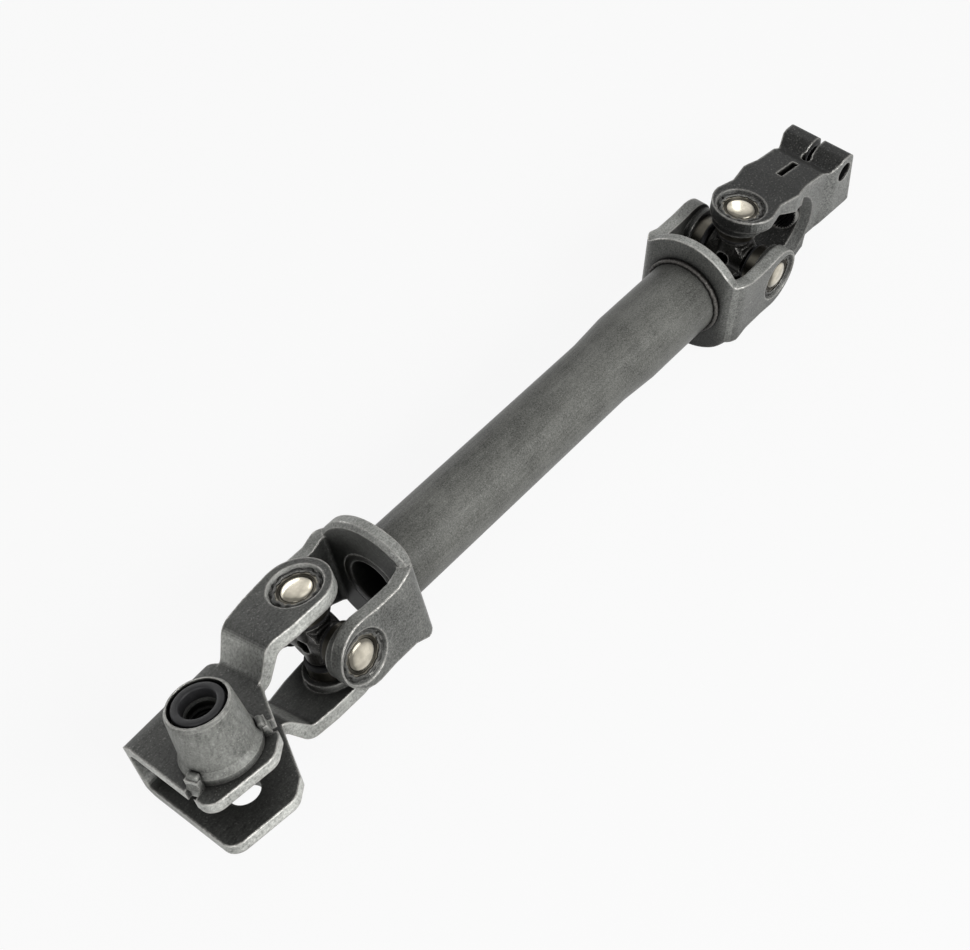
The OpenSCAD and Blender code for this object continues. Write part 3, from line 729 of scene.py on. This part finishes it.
class SHAFT_OT_welds(ShaftOperator, bpy.types.Operator):
    """Model the two rippled weld beads between the tube and its yokes"""
    bl_idname = "shaft.welds"
    bl_label = "Weld the yokes"

    def model(self, sizes, inner, leg):
        ripple = start(bpy.ops.mesh.primitive_uv_sphere_add, segments=20, ring_count=10, radius=1,
                       location=(inner + leg * 0.3, 0, leg * 0.32), rotation=(radians(-20), radians(45), 0),
                       scale=(leg * 0.5, leg * 0.62, leg * 0.82))
        copies = [ripple]
        for i in range(1, sizes.bead_ripples):
            copy = ripple.copy()
            copy.data = ripple.data.copy()
            context_turn = 2 * pi * (i + 0.12 * sin(7 * i)) / sizes.bead_ripples
            swell = 1 + 0.06 * sin(3.3 * i)
            copy.matrix_world = Matrix.Rotation(context_turn, 4, "Z") @ Matrix.Scale(swell, 4, (0, 0, 1))
            bpy.context.scene.collection.objects.link(copy)
            copies.append(copy)
        alone(ripple)
        for copy in copies:
            copy.select_set(True)
        bpy.ops.object.join()
        bead = bpy.context.object
        modify(bead, "REMESH", mode="VOXEL", voxel_size=sizes.bead_voxel)
        modify(bead, "SMOOTH", factor=0.5, iterations=14)
        return bead

    def execute(self, context):
        sizes = context.scene.shaft_sizes
        ends = {"lower_weld": (LOWER_CENTRE, ALONG), "upper_weld": (UPPER_CENTRE, -ALONG)}
        for name, (centre, inward) in ends.items():
            near, far, inner, outer = ring_extent(name, centre, inward)
            bead = self.model(sizes, inner, far - near)
            side = LOWER_SIDE if name == "lower_weld" else UPPER_SIDE
            settle(bead, name + "_bead", stand(centre + inward * near, inward, side), "shaft",
                   finish_of("weld_steel"))
            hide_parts(name)
        return {"FINISHED"}


class SHAFT_OT_thread(ShaftOperator, bpy.types.Operator):
    """Cut the thread of the captive nut"""
    bl_idname = "shaft.thread"
    bl_label = "Thread the nut"

    def execute(self, context):
        sizes = context.scene.shaft_sizes
        centre, axis, radius, long = mount("captive_thread")
        pitch = sizes.thread_pitch
        turns = int((long - pitch) / pitch)
        sunk = 0.06 * MM
        deep = sizes.thread_high + sunk
        ridge = upright_plate(deep, pitch * 0.84, (radius + sunk - deep / 2, 0, -turns * pitch / 2))
        pick(ridge, lambda p: p.x < radius - deep / 2)
        bpy.ops.transform.resize(value=(1, 1, 0.16))
        bpy.ops.object.mode_set(mode="OBJECT")
        modify(ridge, "SCREW", axis="Z", angle=2 * pi, screw_offset=pitch, iterations=turns, steps=40,
               render_steps=40, use_merge_vertices=False)
        edit(ridge)
        bpy.ops.mesh.select_all(action="SELECT")
        bpy.ops.mesh.remove_doubles(threshold=1e-6)
        bpy.ops.mesh.select_all(action="DESELECT")
        bpy.ops.mesh.select_mode(type="EDGE")
        bpy.ops.mesh.select_non_manifold()
        bpy.ops.mesh.fill_holes(sides=0)
        close_up()
        bpy.ops.object.mode_set(mode="OBJECT")
        # The thread takes the staked finish, a darker copy of the yoke colour that paints the shade inside the nut's
        # bore
        settle(ridge, "nut_thread", stand(centre, axis, ALONG), "lower_clamp",
               finish_of("staked"))
        return {"FINISHED"}


class SHAFT_OT_splines(ShaftOperator, bpy.types.Operator):
    """Broach the splines of the clamp bore"""
    bl_idname = "shaft.splines"
    bl_label = "Broach the clamp bore"

    def execute(self, context):
        sizes = context.scene.shaft_sizes
        centre, axis, radius, long = mount("column_clamp")
        sunk = 0.08 * MM
        count = sizes.spline_teeth * 4
        teeth = start(bpy.ops.mesh.primitive_circle_add, vertices=count, radius=radius - 0.02 * MM)
        edit(teeth)
        step = 2 * pi / count

        def crest(p):
            return round((atan2(p.y, p.x) % (2 * pi)) / step) % 4 in (0, 1)

        pick(teeth, crest)
        share = (radius - sizes.spline_high) / radius
        bpy.ops.transform.resize(value=(share, share, 1), center_override=(0, 0, 0))
        bpy.ops.mesh.select_all(action="DESELECT")
        bpy.ops.mesh.primitive_circle_add(vertices=count, radius=radius + sunk)
        bpy.ops.mesh.select_all(action="SELECT")
        bpy.ops.mesh.select_mode(type="EDGE")
        bpy.ops.mesh.bridge_edge_loops()
        gap = sizes.spline_gap
        pick(teeth, lambda p: p.x > 0 and abs(p.y) < gap)
        bpy.ops.mesh.delete(type="VERT")
        bpy.ops.mesh.select_all(action="SELECT")
        bpy.ops.mesh.extrude_region_move(TRANSFORM_OT_translate={"value": (0, 0, long)})
        bpy.ops.mesh.select_all(action="SELECT")
        slope = radians(90) - atan2(35.0, 8.0)
        bpy.ops.mesh.bisect(plane_co=(0, 0, long - radius * 0.47 - 0.15 * MM), plane_no=(sin(slope), 0, cos(slope)),
                            clear_outer=True, use_fill=True)
        close_up()
        bpy.ops.object.mode_set(mode="OBJECT")
        start_of = centre - axis * long / 2
        settle(teeth, "clamp_splines", stand(start_of, axis, UPPER_TOP), "upper_clamp",
               finish_of("fork_iron"))
        return {"FINISHED"}


def seen_white(f, amount):
    """Factor that is the given amount for rays that show the background, and 0 for light."""
    rays = f.add("ShaderNodeLightPath")
    seen = f.math("MAXIMUM", rays.outputs["Is Camera Ray"], rays.outputs["Is Glossy Ray"])
    seen = f.math("MAXIMUM", seen, rays.outputs["Is Transmission Ray"])
    return f.math("MULTIPLY", seen, amount)


class SHAFT_OT_stage(ShaftOperator, bpy.types.Operator):
    """Set the floor, the surroundings, the lamps and the camera"""
    bl_idname = "shaft.stage"
    bl_label = "Set the studio"

    def floor(self, studio):
        floor = start(bpy.ops.mesh.primitive_plane_add, size=2 * studio.floor_size, location=(0, 0, CAD_BOX[0][2]))
        floor.name = "floor"
        f = Finish("pale_floor")
        f.shader.inputs["Roughness"].default_value = 0.9
        f.shader.inputs["Specular IOR Level"].default_value = 0.1
        tone = f.spread(f.noise(f.in_mm(), 0.02, 3.0), 0.3, 0.7)
        f.join(f.blend(tone, rgba(studio.floor, 0.99), rgba(studio.floor, 1.0)), f.shader.inputs["Base Color"])
        glow = f.add("ShaderNodeEmission")
        mix = f.add("ShaderNodeMixShader")
        f.join(seen_white(f, 0.91), mix.inputs[0])
        f.join(f.shader.outputs[0], mix.inputs[1])
        f.join(glow.outputs[0], mix.inputs[2])
        f.join(mix.outputs[0], f.output.inputs[0])
        floor.data.materials.append(f.material)

    def surroundings(self, studio):
        world = bpy.data.worlds.new("studio")
        world.use_nodes = True
        bpy.context.scene.world = world
        tree = world.node_tree
        tree.nodes.clear()
        add, join = tree.nodes.new, tree.links.new
        output = add("ShaderNodeOutputWorld")
        rays = add("ShaderNodeLightPath")
        ambient = add("ShaderNodeBackground")
        ambient.inputs["Strength"].default_value = studio.ambient
        white = add("ShaderNodeBackground")
        white.inputs["Color"].default_value = ambient.inputs["Color"].default_value = (1, 1, 1, 1)
        first = add("ShaderNodeMath")
        second = add("ShaderNodeMath")
        first.operation = second.operation = "MAXIMUM"
        mix = add("ShaderNodeMixShader")
        join(rays.outputs["Is Camera Ray"], first.inputs[0])
        join(rays.outputs["Is Glossy Ray"], first.inputs[1])
        join(first.outputs[0], second.inputs[0])
        join(rays.outputs["Is Transmission Ray"], second.inputs[1])
        join(second.outputs[0], mix.inputs[0])
        join(ambient.outputs[0], mix.inputs[1])
        join(white.outputs[0], mix.inputs[2])
        join(mix.outputs[0], output.inputs[0])

    def lamp(self, name, power, place, aim, size):
        alone(None)
        bpy.ops.object.light_add(type="AREA", location=place)
        lamp = bpy.context.object
        lamp.name = name
        lamp.data.shape = "RECTANGLE"
        lamp.data.size, lamp.data.size_y = size
        lamp.data.energy = power
        lamp.rotation_euler = (Vector(aim) - Vector(place)).to_track_quat("-Z", "Y").to_euler()

    def camera(self, studio):
        alone(None)
        bpy.ops.object.camera_add(location=studio.place, rotation=studio.turn)
        camera = bpy.context.object
        camera.data.sensor_width = 36
        camera.data.lens = studio.lens
        camera.data.clip_start = 0.01
        bpy.context.scene.camera = camera

    def execute(self, context):
        studio = context.scene.shaft_studio
        self.floor(studio)
        self.surroundings(studio)
        self.lamp("key_lamp", studio.key, (0.05, -0.85, 0.6), (0, 0, 0), (0.8, 0.45))
        self.lamp("side_lamp", studio.side, (-0.95, -0.25, 0.45), (0, 0, 0.02), (0.5, 0.4))
        self.lamp("top_lamp", studio.top, (0, 0.1, 1.0), (0, 0, 0), (0.8, 0.4))
        self.lamp("back_lamp", studio.back, (0.0, 0.85, 0.14), (0, 0, 0.03), (0.9, 0.2))
        self.lamp("rim_lamp", studio.rim, (0.6, 0.35, 0.45), (0.05, 0, 0.02), (0.2, 0.7))
        self.camera(studio)
        context.scene.view_settings.view_transform = "Standard"
        return {"FINISHED"}


class SHAFT_PT_panel(bpy.types.Panel):
    """Lists the steps in the order in which they are run"""
    bl_idname = "SHAFT_PT_panel"
    bl_label = "Steering Shaft"
    bl_space_type = "VIEW_3D"
    bl_region_type = "UI"
    bl_category = "Steering Shaft"

    def draw(self, context):
        for step in STEPS:
            self.layout.operator(step.bl_idname)
        for group in (context.scene.shaft_sizes, context.scene.shaft_colours, context.scene.shaft_studio):
            box = self.layout.box()
            for key in group.__annotations__:
                box.prop(group, key)


STEPS = (SHAFT_OT_stage, SHAFT_OT_finishes, SHAFT_OT_stakings, SHAFT_OT_crowns, SHAFT_OT_lock_ring,
         SHAFT_OT_nut_stakes, SHAFT_OT_welds, SHAFT_OT_thread, SHAFT_OT_splines)
CLASSES = (ShaftPieceSizes, ShaftColours, ShaftStudio, *STEPS, SHAFT_PT_panel)


def register():
    for one in CLASSES:
        bpy.utils.register_class(one)
    bpy.types.Scene.shaft_sizes = PointerProperty(type=ShaftPieceSizes)
    bpy.types.Scene.shaft_colours = PointerProperty(type=ShaftColours)
    bpy.types.Scene.shaft_studio = PointerProperty(type=ShaftStudio)


def unregister():
    del bpy.types.Scene.shaft_sizes
    del bpy.types.Scene.shaft_colours
    del bpy.types.Scene.shaft_studio
    for one in reversed(CLASSES):
        bpy.utils.unregister_class(one)


def main():
    register()
    bpy.ops.shaft.stage()
    bpy.ops.shaft.finishes()
    bpy.ops.shaft.stakings()
    bpy.ops.shaft.crowns()
    bpy.ops.shaft.lock_ring()
    bpy.ops.shaft.nut_stakes()
    bpy.ops.shaft.welds()
    bpy.ops.shaft.thread()
    bpy.ops.shaft.splines()


if __name__ == "__main__":
    main()
